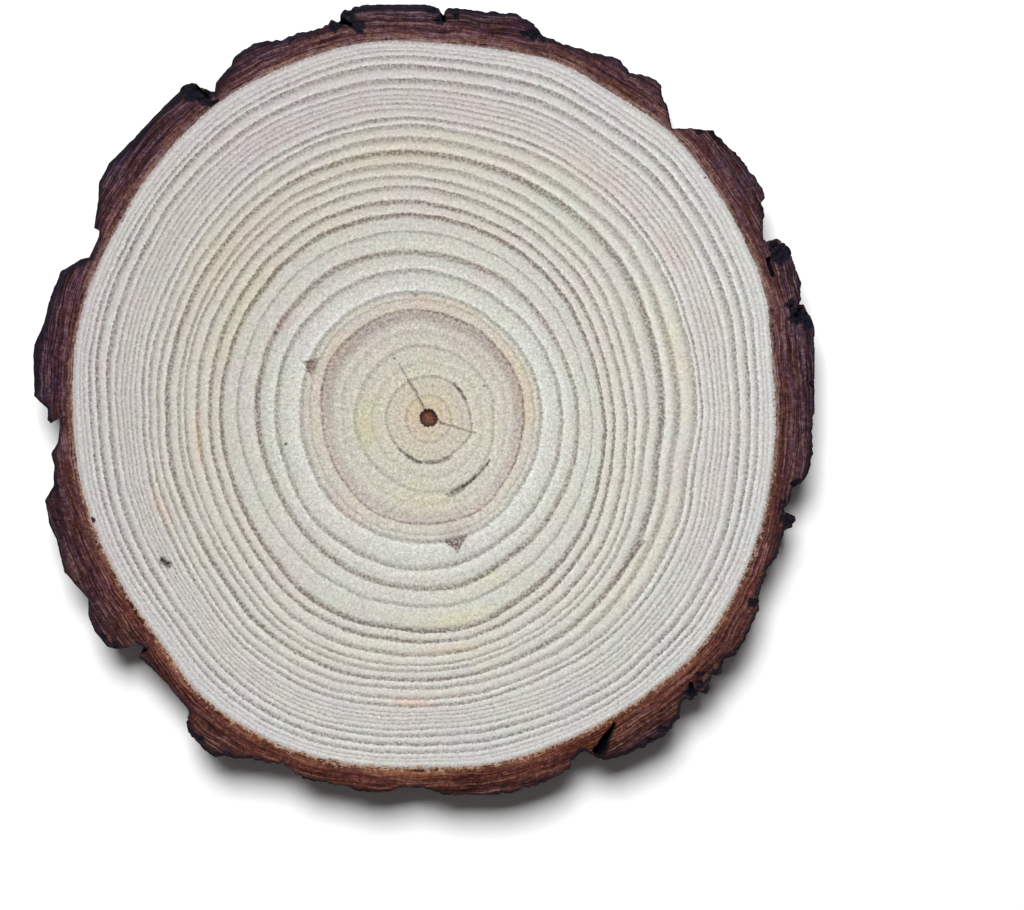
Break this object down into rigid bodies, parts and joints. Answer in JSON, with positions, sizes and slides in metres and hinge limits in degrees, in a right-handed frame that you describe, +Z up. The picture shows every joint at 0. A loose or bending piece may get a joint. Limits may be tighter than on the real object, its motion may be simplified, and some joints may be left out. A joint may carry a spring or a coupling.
{
  "type": "wood slice",
  "caption": "Flat round slice sawn across a tree trunk, pale end grain with growth rings and a rough bark rim, lying on its lower face.",
  "frame": {"origin": "middle of the bounding box in X and Y, on the lower sawn face", "axes": "+Z up through the slice's thickness, from the lower sawn face to the upper one; +Y points to the edge that is on top in the picture"},
  "size_m": [0.2504, 0.2532, 0.02],
  "materials": {
    "end_grain": "dry sanded end grain, matt",
    "bark": "rough flaky bark, matt"
  },
  "bodies": {
    "root": {"wood_slice": "end_grain"}
  },
  "joints": []
}
